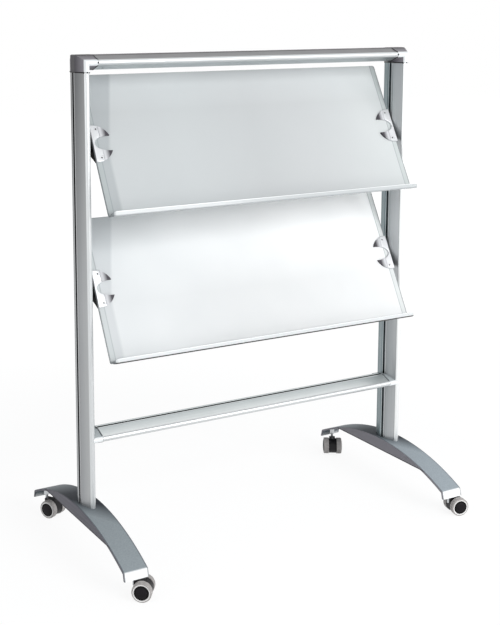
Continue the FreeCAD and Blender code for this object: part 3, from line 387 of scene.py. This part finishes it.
def opal_acrylic(name, node, bend, shaded_margin, tone, steps, rim_tones, shade_drops):
    """Polished cast acrylic, opal white, with light and shade painted into its colour.

    It starts with the painted shade of its left margin, which gets wider above the height called
    bend. After the margin comes tone, and each step is (from X, to X, tone reached there), a
    painted gradient of light across the sheet. A painted reflection of the upright makes a grey
    strip and line inside each end, and painted shade a dark line along each end. rim_tones are
    those of the front of the tray and of the line along its foot, both painted shade, and a
    painted highlight runs along the top of the rim. Painted shade makes the sheet a little
    greyer between the two drops from its top edge that the last argument gives.
    """
    material, tree, place = new_material(name)
    split = add_node(tree, "SeparateXYZ", Vector=place)
    along, depth, height = (split.outputs[axis] for axis in "XYZ")
    cloud = patch_noise(tree, place, 220.0)
    waves = patch_noise(tree, place, 35.0)
    # Painted shade: the darker margin along the left end.
    wider = add_node(
        tree, "MapRange", Value=height, From_Min=bend, From_Max=bend + MARGIN_SPREAD[0],
        To_Max=MARGIN_SPREAD[1],
    )
    slanted = add_node(tree, "Math", SUBTRACT, i0=along, i1=wider)
    past_margin = add_node(
        tree, "MapRange", Value=slanted, From_Min=MARGIN_ENDS[0], From_Max=MARGIN_ENDS[1]
    )
    colour = add_node(tree, "Mix", COLOUR_MIX, i0=past_margin, i6=shaded_margin, i7=tone)
    # Painted light: the sheet's tone changes across it, brightest at the right.
    for start, end, reached in steps:
        share = add_node(tree, "MapRange", Value=along, From_Min=start, From_Max=end)
        colour = add_node(tree, "Mix", COLOUR_MIX, i0=share, i6=colour, i7=reached)
    # Painted shade: a little greyer below the top edge.
    top = box_of(node)[1].z
    below = add_node(
        tree, "MapRange", Value=height, From_Min=top - shade_drops[1], From_Max=top - shade_drops[0],
        To_Min=0.19, To_Max=0.0,
    )
    colour = add_node(tree, "Mix", COLOUR_MIX, i0=below, i6=colour, i7="000000")
    shade = add_node(tree, "MapRange", Value=cloud, From_Min=0.35, From_Max=0.65, To_Max=0.12)
    colour = add_node(tree, "Mix", COLOUR_MIX, i0=shade, i6=colour, i7="a9b0b3")
    out = off_plane(tree, place, "X")
    # Painted reflection of the upright: a greyer strip and a line inside each end.
    strip_start = SHEET_HALF - STRIP_WIDTH
    reflection_strip = add_node(
        tree, "MapRange", Value=out, From_Min=strip_start - 1.5 * MM, From_Max=strip_start - 0.5 * MM,
        To_Max=0.3,
    )
    colour = add_node(tree, "Mix", COLOUR_MIX, i0=reflection_strip, i6=colour, i7="a3adab")
    reflection_line = line_at(tree, out, strip_start, 1.2, 0.45)
    colour = add_node(tree, "Mix", COLOUR_MIX, i0=reflection_line, i6=colour, i7="7f878b")
    # Painted shade on the front of the tray and a dark line along its foot.
    rim_start, rim_low, rim_high = rim_of(node)
    foot_top = rim_low + 0.32 * (rim_high - rim_low)
    on_foot = add_node(
        tree, "MapRange", Value=height, From_Min=foot_top - 0.5 * MM, From_Max=foot_top + 0.5 * MM,
        To_Min=1.0, To_Max=0.0,
    )
    front = add_node(tree, "Mix", COLOUR_MIX, i0=on_foot, i6=rim_tones[0], i7=rim_tones[1])
    # Painted highlight along the top of the rim.
    rim_highlight = add_node(
        tree, "MapRange", Value=height, From_Min=rim_high - 1.6 * MM, From_Max=rim_high - 1.0 * MM,
        To_Max=0.7,
    )
    front = add_node(tree, "Mix", COLOUR_MIX, i0=rim_highlight, i6=front, i7="f4f6f6")
    on_rim = add_node(
        tree, "MapRange", Value=depth, From_Min=rim_start, From_Max=rim_start + 1 * MM,
        To_Min=1.0, To_Max=0.0,
    )
    colour = add_node(tree, "Mix", COLOUR_MIX, i0=on_rim, i6=colour, i7=front)
    # Painted shade: a dark line along each end of the sheet.
    end = add_node(
        tree, "MapRange", Value=out, From_Min=SHEET_HALF - 2.6 * MM, From_Max=SHEET_HALF - 1.8 * MM,
        To_Max=0.75,
    )
    colour = add_node(tree, "Mix", COLOUR_MIX, i0=end, i6=colour, i7="5f666a")
    rough = add_node(
        tree, "MapRange", Value=cloud, From_Min=0.3, From_Max=0.7, To_Min=0.16, To_Max=0.24
    )
    finish_material(
        tree, waves, 0.02, 0.15, Base_Color=colour, Roughness=rough, IOR=1.49,
        Subsurface_Weight=0.1, Subsurface_Radius=(3 * MM, 3 * MM, 3 * MM), Subsurface_Scale=1.0,
    )
    return material


def moulded_plastic(name, tone, shade, rough_low, rough_high, grain_mm, gloss):
    """Injection moulding with a fine spark-eroded grain."""
    material, tree, place = new_material(name)
    grain = patch_noise(tree, place, grain_mm, 3.0)
    cloud = patch_noise(tree, place, 14.0)
    cloudy = add_node(tree, "MapRange", Value=cloud, From_Min=0.3, From_Max=0.7)
    colour = add_node(tree, "Mix", COLOUR_MIX, i0=cloudy, i6=tone, i7=shade)
    rough = add_node(
        tree, "MapRange", Value=grain, From_Min=0.3, From_Max=0.7, To_Min=rough_low, To_Max=rough_high
    )
    finish_material(
        tree, grain, 0.02, 0.5, Base_Color=colour, Roughness=rough, IOR=1.5, Specular_IOR_Level=gloss
    )
    return material


def pad_material(name):
    """Grey moulded pad, with painted shade that takes it from pale beside the jaw to dark at its tip."""
    material, tree, place = new_material(name)
    grain = patch_noise(tree, place, 0.6, 3.0)
    from_end = off_plane(tree, place, "X", SHEET_HALF)
    # Painted shade: darker towards the tip.
    tip_shade = add_node(tree, "MapRange", Value=from_end, From_Min=27 * MM, From_Max=39 * MM)
    colour = add_node(tree, "Mix", COLOUR_MIX, i0=tip_shade, i6="d0d1d4", i7="3b383e")
    grainy = add_node(tree, "Math", MULTIPLY, i0=grain, i1=0.2)
    colour = add_node(tree, "Mix", COLOUR_MIX, i0=grainy, i6=colour, i7="3f3d42")
    rough = add_node(
        tree, "MapRange", Value=grain, From_Min=0.3, From_Max=0.7, To_Min=0.4, To_Max=0.55
    )
    finish_material(
        tree, grain, 0.02, 0.5, Base_Color=colour, Roughness=rough, Specular_IOR_Level=0.3
    )
    return material


def zinc_plate(name):
    """Bright zinc over turned steel: fine turning rings and a faint blue cast."""
    material, tree, place = new_material(name)
    rings = patch_noise(tree, place, 0.6, 2.0, (1, 1, 0.4))
    colour = add_node(tree, "Mix", COLOUR_MIX, i0=rings, i6="d8dadb", i7="a9adb0")
    rough = add_node(
        tree, "MapRange", Value=rings, From_Min=0.3, From_Max=0.7, To_Min=0.18, To_Max=0.3
    )
    finish_material(tree, rings, 0.01, 0.4, Base_Color=colour, Roughness=rough, Metallic=1.0)
    return material


# ---- Mesh helpers ---------------------------------------------------------------------------

SHARP_ANGLE = math.radians(19)
BEVEL_ANGLE = math.radians(35)
FLAT_ANGLE = math.radians(0.6)
MERGE_DISTANCE = 0.01 * MM
EDGE_RADIUS = 0.3 * MM


def mark_sharp(bm):
    """Smooth shading with every real crease kept crisp."""
    for face in bm.faces:
        face.smooth = True
    for edge in bm.edges:
        edge.smooth = len(edge.link_faces) == 2 and edge.calc_face_angle(0) < SHARP_ANGLE


def make_piece(bm, name, node, materials):
    """Turn a bmesh into a piece with the given finishes that rides with its node's body."""
    mark_sharp(bm)
    mesh = bpy.data.meshes.new(name)
    bm.to_mesh(mesh)
    bm.free()
    piece = bpy.data.objects.new(name, mesh)
    bpy.context.scene.collection.objects.link(piece)
    for material in materials:
        mesh.materials.append(material)
    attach(piece, BODY_OF[node])
    return piece


def make_new_piece(bm, name, node, materials):
    """A piece of closed new shapes, with their faces turned outwards first."""
    bmesh.ops.recalc_face_normals(bm, faces=bm.faces[:])
    return make_piece(bm, name, node, materials)


def dress(node, material):
    """A merged copy of a node with its flat faces whole again, soft edges and a finish."""
    bm = bmesh.new()
    bm.from_mesh(frame["nodes"][node].data)
    bmesh.ops.remove_doubles(bm, verts=bm.verts[:], dist=MERGE_DISTANCE)
    bmesh.ops.dissolve_limit(
        bm, angle_limit=FLAT_ANGLE, verts=bm.verts[:], edges=bm.edges[:],
        use_dissolve_boundaries=False, delimit={"NORMAL"},
    )
    piece = make_piece(bm, node + "_dressed", node, [material])
    bevel = piece.modifiers.new("edges", "BEVEL")
    bevel.width = EDGE_RADIUS
    bevel.segments = 2
    bevel.limit_method = "ANGLE"
    bevel.angle_limit = BEVEL_ANGLE
    bevel.harden_normals = True
    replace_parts(piece, node)


# ---- Finishes -------------------------------------------------------------------------------

# Painted highlight: the bright tone of the sections' noses and of the feet's lips.
NOSE_HIGHLIGHT = "d0d3d4"
LIP_HIGHLIGHT = "f6f7f7"
# The uprights and bars are lit and shaded copies of one anodised aluminium: their different tones are painted
# light and shade.
left_post_metal = lens_metal(
    "satin anodised aluminium, left upright", "z", ("97999b", "9b9d9f", "b6b8b9", NOSE_HIGHLIGHT),
    ("X", POST_X), top_dark=0.55,
)
right_post_metal = lens_metal(
    "satin anodised aluminium, right upright", "z", ("999d9f", "a2a6a8", "bcbfc1", "eef0f0"),
    ("X", POST_X), nose_line=0.35, rear="7c8b8f",
)
top_bar_metal = lens_metal(
    "satin anodised aluminium, top bar", "x", ("5b595c", "7f7f81", "868688", NOSE_HIGHLIGHT),
    ("Z", BAR_Z), "b8bec0", ridge_depth=17 * MM,
)
crossbar_metal = lens_metal(
    "satin anodised aluminium, crossbar", "x", ("bdc4c5", "c9d0d1", "eaeeee", NOSE_HIGHLIGHT),
    ("Z", CROSSBAR_Z), "d3d8d9",
)
# The elbows' dark flats are painted shade and a painted dark reflection, and the pale noses of the elbows and
# fittings are a painted highlight.
elbow_shaded_coat = lens_metal(
    "satin coat on cast elbows, with painted shade", "x", ("39363b", "4a474c", "8b888e", "dfe2e3"), coat=True
)
fitting_coat = lens_metal(
    "satin coat on end fittings", "x", ("8f9698", "9ea5a7", "b9c0c2", "e6e9ea"), coat=True
)
# The two feet are lit and shaded copies of one powder coat, each with its own painted tones.
left_foot_coat = foot_coat("silver powder coat, left foot", -1, "939b9f", "2a2e35", "66656c", LIP_HIGHLIGHT)
right_foot_coat = foot_coat("silver powder coat, right foot", 1, "9fa8ae", "33383e", "87858b", LIP_HIGHLIGHT)
jaw_coat = powder_coat("satin silver on clamp jaws", "d6d7d9", "c9cbcd", 0.28, 0.36, 0.4)
# The two sheets are lit and shaded copies of one acrylic: the lower one is painted paler to make up for the shade
# that the upper tray casts on it.
upper_opal = opal_acrylic(
    "opal acrylic, upper shelf", "upper_shelf_sheet", 1.01, "bcc1c3", "d2d6d7",
    ((-0.2, 0.0, "cdd0d1"), (0.0, 0.2, "d2d5d6"), (0.2, 0.45, "e0e4e4")),
    ("bbbfc0", "a5a9ab"), (0.01, 0.09),
)
lower_opal = opal_acrylic(
    "opal acrylic, lower shelf", "lower_shelf_sheet", 0.654, "cdd1d3", "e0e3e4",
    ((-0.37, 0.1, "f1f2f2"), (0.1, 0.45, "fbfcfc")),
    ("d0d3d4", "2f2c2b"), (0.08, 0.2),
)
pad_plastic = pad_material("grey moulded pad")
black_moulding = moulded_plastic("black moulded nylon", "0d0c0e", "171518", 0.35, 0.5, 0.5, 0.25)
seam_shade_grey = moulded_plastic("grey painted shade at a seam", "5d6164", "6a6e71", 0.45, 0.6, 0.5, 0.25)
tyre_rubber = moulded_plastic("grey soft tread", "aaa6a4", "9b9795", 0.45, 0.6, 0.8, 0.3)
tyre_ring = moulded_plastic("pale ring on the tyre's side", "f2f1f0", "e4e2e0", 0.4, 0.5, 0.8, 0.5)
hub_plastic = moulded_plastic("black glossy hub", "040304", "090809", 0.2, 0.3, 0.5, 0.15)
hub_centre = moulded_plastic("grained centre of the hub", "0f0d10", "171419", 0.4, 0.5, 0.5, 0.15)
zinc = zinc_plate("bright zinc plate")

FINISH_OF_SLOT = {
    "anodised_aluminium": right_post_metal,
    "elbow_grey": elbow_shaded_coat,
    "fitting_grey": fitting_coat,
    "foot_silver": right_foot_coat,
    "opal_acrylic": upper_opal,
    "jaw_silver": jaw_coat,
    "pad_grey": pad_plastic,
    "black_moulding": black_moulding,
    "zinc_steel": zinc,
}

FINISH_OF_NODE = {
    "top_bar": top_bar_metal,
    "lower_crossbar": crossbar_metal,
    "left_post": left_post_metal,
    "left_foot": left_foot_coat,
    "lower_shelf_sheet": lower_opal,
    "upper_clamp_screws": jaw_coat,
    "lower_clamp_screws": jaw_coat,
}

# ---- Every node that keeps its own shape ----------------------------------------------------

for node in frame["nodes"]:
    if not node.endswith(("_tyre", "_hub")):
        dress(node, FINISH_OF_NODE.get(node) or FINISH_OF_SLOT[SLOT_OF[node]])

# ---- Wheels, in millimetres -----------------------------------------------------------------

WHEEL_RADIUS = 24.0
TYRE_WIDTH = 15.0
SHOULDER = 3.0                 # radius of the tyre's outer edge
TREAD_CHAMFER = 0.6
GROOVE_STARTS = (3.6, 7.8)
GROOVE_WIDTH = 1.2
GROOVE_SLOPE = 0.3
GROOVE_DEPTH = 0.45
RING_OUTER = 20.6              # the pale ring round the hub
RING_INNER = 18.6
RING_STEP = 0.4                # how far it lies below the tyre's side
HUB_RADIUS = 17.8
HUB_GAP = 0.05
CENTRE_RADIUS = 13.4           # the grained centre of the hub
DOME = 1.9                     # how far the hub's middle stands out past the tyre
NEAR = 0.1                     # a face this near an edge counts as inside it


def spin_profile(points, centre, axis, out, steps=72):
    """Closed ring swept round an axis; points are (radius, distance along out)."""
    side = axis.orthogonal().normalized()
    bm = bmesh.new()
    ring = [bm.verts.new(centre + out * (t * MM) + side * (r * MM)) for r, t in points]
    edges = [bm.edges.new((ring[i], ring[(i + 1) % len(ring)])) for i in range(len(ring))]
    bmesh.ops.spin(
        bm, geom=ring + edges, cent=centre, axis=axis, angle=math.tau, steps=steps, use_merge=True
    )
    bmesh.ops.remove_doubles(bm, verts=bm.verts[:], dist=MERGE_DISTANCE)
    return bm


def rounded(centre_r, centre_t, radius, start, end, steps=6):
    """Points of an arc in the section of a wheel."""
    turns = [math.radians(start + (end - start) * i / steps) for i in range(steps + 1)]
    return [(centre_r + radius * math.cos(a), centre_t + radius * math.sin(a)) for a in turns]


def tyre_section():
    """Ribbed tread with a rounded shoulder and a stepped ring round the hub."""
    section = [(HUB_RADIUS, 0.0), (WHEEL_RADIUS - TREAD_CHAMFER, 0.0), (WHEEL_RADIUS, TREAD_CHAMFER)]
    low = WHEEL_RADIUS - GROOVE_DEPTH
    for start in GROOVE_STARTS:
        end = start + GROOVE_WIDTH
        section += [(WHEEL_RADIUS, start), (low, start + GROOVE_SLOPE)]
        section += [(low, end - GROOVE_SLOPE), (WHEEL_RADIUS, end)]
    section += rounded(WHEEL_RADIUS - SHOULDER, TYRE_WIDTH - SHOULDER, SHOULDER, 0, 90)
    ring = TYRE_WIDTH - RING_STEP
    seat = ring - RING_STEP
    section += [(RING_OUTER, TYRE_WIDTH), (RING_OUTER - 0.2, ring), (RING_INNER, ring)]
    return section + [(RING_INNER - 0.3, seat), (HUB_RADIUS, seat)]


def hub_section():
    """Domed cap with a raised rim, a narrow groove and a shallow centre."""
    radius = HUB_RADIUS - HUB_GAP
    profile = [(radius, -TYRE_WIDTH), (radius, -0.4), (17.2, 0.5), (15.6, 1.0), (14.4, 0.9)]
    profile += [(14.0, 0.4), (CENTRE_RADIUS, 0.5), (12.0, 1.1), (8.0, 1.6), (4.0, 1.85), (0.0, DOME)]
    return [(r, TYRE_WIDTH + t) for r, t in profile] + [(0.0, 0.0)]


def paint_side(bm, inner, out, start, low, high):
    """Give the second finish to faces further out than start, with a radius in a range."""
    for face in bm.faces:
        place = face.calc_center_median() - inner
        along = place.dot(out) / MM
        radius = (place - out * place.dot(out)).length / MM
        face.material_index = 1 if along > start and low < radius < high else 0


def make_wheel(corner, which):
    """Tyre and hub of one wheel, in place of the plain ones."""
    joint = JOINTS[corner + "_" + which + "_roll"]
    axis = Vector(joint["axis"]).normalized()
    axle = Vector(joint["pos_m"])
    tyre = corner + "_" + which + "_tyre"
    hub = corner + "_" + which + "_hub"
    reach = (middle_of(tyre) - axle).dot(axis)
    out = axis if reach > 0 else -axis
    inner = axle + out * (abs(reach) - TYRE_WIDTH / 2 * MM)
    bm = spin_profile(tyre_section(), inner, axis, out)
    seat = TYRE_WIDTH - 2 * RING_STEP
    paint_side(bm, inner, out, seat - NEAR, HUB_RADIUS + NEAR, RING_OUTER + NEAR)
    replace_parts(make_new_piece(bm, tyre + "_ribbed", tyre, [tyre_rubber, tyre_ring]), tyre)
    bm = spin_profile(hub_section(), inner, axis, out)
    paint_side(bm, inner, out, TYRE_WIDTH, -1, CENTRE_RADIUS + NEAR)
    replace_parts(make_new_piece(bm, hub + "_capped", hub, [hub_plastic, hub_centre]), hub)


for end in ("front", "rear"):
    for side in ("left", "right"):
        for which in ("outer", "inner"):
            make_wheel(end + "_" + side, which)

# ---- Painted shade in the seams and screw sockets, and dark dots at the seams ---------------

SEAM_MIDDLE = 0.4 * MM         # past the end of the post or bar
SEAM_SHADE_SPAN = (-0.9 * MM, 1.7 * MM)
SEAM_SHADE_PROUD = 0.9 * MM
SEAM_SHADE_NOSE = (7.7 * MM, 38 * MM)        # thickness and depth where a flat meets the nose
HEADROOM = 0.05 * MM           # from the top of a seam's painted shade slab to the top of the elbows
NUB_RADIUS = 2.6 * MM
NUB_SUNK = 0.8 * MM
NUB_TURNS = (15, 90, 165)


def add_nub(bm, place):
    made = bmesh.ops.create_icosphere(bm, subdivisions=2, radius=NUB_RADIUS)
    bmesh.ops.translate(bm, verts=made["verts"], vec=place)


def nub_point(turn_deg):
    """(thickness, depth) of a nub's middle by its angle round the nose of the section."""
    radius = NOSE_RADIUS - NUB_SUNK
    turn = math.radians(turn_deg)
    return radius * math.cos(turn), NOSE_CENTRE + radius * math.sin(turn)


def add_seam_shade(bm, seam, along, sign, bar_z=BAR_Z):
    """Thin dark slab over a seam's flats, painted as the shade in the joint; along is the direction across the
    seam.
    """
    ridge = (SECTION_HALF + SEAM_SHADE_PROUD, RIDGE_DEPTH)
    nose = (SEAM_SHADE_NOSE[0] + SEAM_SHADE_PROUD, SEAM_SHADE_NOSE[1])
    outline = [ridge, nose, (-nose[0], nose[1]), (-ridge[0], ridge[1])]
    outline += [(-thick, -depth) for thick, depth in outline]
    start, end = SEAM_SHADE_SPAN
    ring = []
    for thick, depth in outline:
        if along == "Z":
            place = (sign * POST_X + thick, depth, seam + start)
        else:
            place = (sign * (seam + start), depth, min(bar_z + thick, cad_high[2] - HEADROOM))
        ring.append(bm.verts.new(place))
    drawn = bmesh.ops.extrude_face_region(bm, geom=[bm.faces.new(ring)])
    moved = [item for item in drawn["geom"] if isinstance(item, bmesh.types.BMVert)]
    shift = (0, 0, end - start) if along == "Z" else (sign * (end - start), 0, 0)
    bmesh.ops.translate(bm, verts=moved, vec=shift)


# Painted shade: a dark slab over the flats at each seam stands for the shade in the joint, and dark dots sit on
# the nose at the seam.
for side, sign in (("left", -1), ("right", 1)):
    bm = bmesh.new()
    add_seam_shade(bm, POST_TOP, "Z", sign)
    add_seam_shade(bm, BAR_END, "X", sign)
    for turn in NUB_TURNS:
        thick, depth = nub_point(turn)
        for front in (-1, 1):
            add_nub(bm, (sign * POST_X + thick, front * depth, POST_TOP + SEAM_MIDDLE))
            add_nub(bm, (sign * (BAR_END + SEAM_MIDDLE), front * depth, BAR_Z + thick))
    make_new_piece(bm, side + "_elbow_seam_shade_and_dots", side + "_elbow", [black_moulding])
    bm = bmesh.new()
    add_seam_shade(bm, CROSSBAR_END, "X", sign, CROSSBAR_Z)
    make_new_piece(bm, side + "_fitting_seam_shade", side + "_crossbar_fitting", [seam_shade_grey])

SHEET_TILT = math.radians(27.8)
JAW_FACE = 24.1 * MM           # face of a screw's head in front of the pivot
SCREW_UP = 37 * MM             # from the pivot, along the sheet
SCREW_INSET = 15 * MM          # from the end of the sheet
SOCKET_RADIUS = 2.2 * MM
SOCKET_FLOOR = 0.6 * MM


def on_shelf(level, x, up, out):
    """A point given across the shelf, up its sheet and out of its front, from its pivot."""
    pivot = JOINTS[level + "_shelf_tilt"]["pos_m"]
    y = up * math.sin(SHEET_TILT) - out * math.cos(SHEET_TILT)
    z = up * math.cos(SHEET_TILT) + out * math.sin(SHEET_TILT)
    return Vector((x, y, pivot[2] + z))


# Painted shade: a black floor in each screw's socket stands in for the shade inside it.
for level in ("upper", "lower"):
    bm = bmesh.new()
    turn = Matrix.Rotation(math.pi / 2 - SHEET_TILT, 4, "X")
    for sign in (-1, 1):
        for up in (-SCREW_UP, SCREW_UP):
            place = on_shelf(level, sign * (SHEET_HALF - SCREW_INSET), up, JAW_FACE - SOCKET_FLOOR)
            bmesh.ops.create_cone(
                bm, cap_ends=True, segments=6, radius1=SOCKET_RADIUS, radius2=SOCKET_RADIUS,
                depth=SOCKET_FLOOR, matrix=Matrix.Translation(place) @ turn,
            )
    make_new_piece(bm, level + "_socket_shade", level + "_clamp_screws", [black_moulding])

# ---- Stage, light and camera ----------------------------------------------------------------

FLOOR_HALF = 12.0
FLOOR_GLOW = 0.86              # of the floor near the rack, where its shadow shows
GLOW_RADII = (0.9, 2.4)        # from there to white
WHITE = (1, 1, 1, 1)
SKY_LEVEL = 0.56


def seen_share(tree):
    """1 for what the eye sees by itself, in reflections and through clear parts, else 0."""
    path = add_node(tree, "LightPath")
    seen = add_node(
        tree, "Math", LARGER, i0=path.outputs["Is Camera Ray"], i1=path.outputs["Is Glossy Ray"]
    )
    return add_node(tree, "Math", LARGER, i0=seen, i1=path.outputs["Is Transmission Ray"])


def stage_floor():
    """Large pale floor that stays white to the eye and keeps a soft shadow."""
    bm = bmesh.new()
    bmesh.ops.create_grid(bm, x_segments=1, y_segments=1, size=FLOOR_HALF)
    mesh = bpy.data.meshes.new("floor")
    bm.to_mesh(mesh)
    bm.free()
    floor = bpy.data.objects.new("floor", mesh)
    bpy.context.scene.collection.objects.link(floor)
    material, tree, place = new_material("pale studio floor")
    paper = add_node(tree, "BsdfDiffuse", Color="f4f4f4")
    glow = add_node(tree, "Emission", Color=WHITE, Strength=1.04)
    far = add_node(tree, "VectorMath", {"operation": "LENGTH"}, i0=place).outputs["Value"]
    glow_share = add_node(
        tree, "MapRange", Value=far, From_Min=GLOW_RADII[0], From_Max=GLOW_RADII[1], To_Min=FLOOR_GLOW
    )
    share = add_node(tree, "Math", MULTIPLY, i0=seen_share(tree), i1=glow_share)
    mixed = add_node(tree, "MixShader", i0=share, i1=paper, i2=glow)
    add_node(tree, "OutputMaterial", Surface=mixed)
    mesh.materials.append(material)


def studio_world():
    """White to the eye, in reflections and through clear parts; a soft even light otherwise."""
    world = bpy.data.worlds.new("studio")
    bpy.context.scene.world = world
    world.use_nodes = True
    tree = world.node_tree
    tree.nodes.clear()
    white = add_node(tree, "Background", Color=WHITE, Strength=1.0)
    soft = add_node(tree, "Background", Color="f2f5f8", Strength=SKY_LEVEL)
    mixed = add_node(tree, "MixShader", i0=seen_share(tree), i1=soft, i2=white)
    add_node(tree, "OutputWorld", Surface=mixed)


def soft_lamp(name, place, target, size, watts):
    """Square area lamp that faces a target."""
    data = bpy.data.lights.new(name, "AREA")
    data.shape = "SQUARE"
    data.size = size
    data.energy = watts
    lamp = bpy.data.objects.new(name, data)
    bpy.context.scene.collection.objects.link(lamp)
    lamp.location = place
    lamp.rotation_euler = (Vector(target) - Vector(place)).to_track_quat("-Z", "Y").to_euler()


stage_floor()
studio_world()
soft_lamp("front key", (1.0, -4.2, 2.4), (0, 0, 0.7), 2.6, 150)
soft_lamp("left fill", (-4.0, -1.0, 1.6), (0, 0, 0.7), 2.0, 20)
soft_lamp("right fill", (3.0, -1.5, 1.5), (0, 0, 0.3), 1.5, 14)

# Camera: where it stands, how it is turned, and its lens
CAMERA_PLACE = (-1.61283, -2.51662, 1.33779)
CAMERA_YAW = math.radians(27.8742)       # from +Y towards +X
CAMERA_PITCH = math.radians(8.4119)      # downwards
CAMERA_ROLL = math.radians(-0.3863)
CAMERA_LENS = 66.4935
SENSOR = 36.0
CAMERA_SHIFT = (0.15458, -0.2)


def add_camera():
    data = bpy.data.cameras.new("camera")
    data.sensor_fit = "VERTICAL"
    data.sensor_height = SENSOR
    data.sensor_width = SENSOR
    data.lens = CAMERA_LENS
    data.shift_x, data.shift_y = CAMERA_SHIFT
    data.clip_start = 0.05
    data.clip_end = 60.0
    camera = bpy.data.objects.new("camera", data)
    bpy.context.scene.collection.objects.link(camera)
    forward = Vector((
        math.sin(CAMERA_YAW) * math.cos(CAMERA_PITCH),
        math.cos(CAMERA_YAW) * math.cos(CAMERA_PITCH),
        -math.sin(CAMERA_PITCH),
    ))
    level_right = Vector((math.cos(CAMERA_YAW), -math.sin(CAMERA_YAW), 0))
    level_up = level_right.cross(forward)
    right = level_right * math.cos(CAMERA_ROLL) + level_up * math.sin(CAMERA_ROLL)
    up = level_up * math.cos(CAMERA_ROLL) - level_right * math.sin(CAMERA_ROLL)
    turn = Matrix((right, up, -forward)).transposed().to_4x4()
    camera.matrix_world = Matrix.Translation(CAMERA_PLACE) @ turn
    bpy.context.scene.camera = camera


add_camera()
bpy.context.scene.view_settings.view_transform = "Standard"
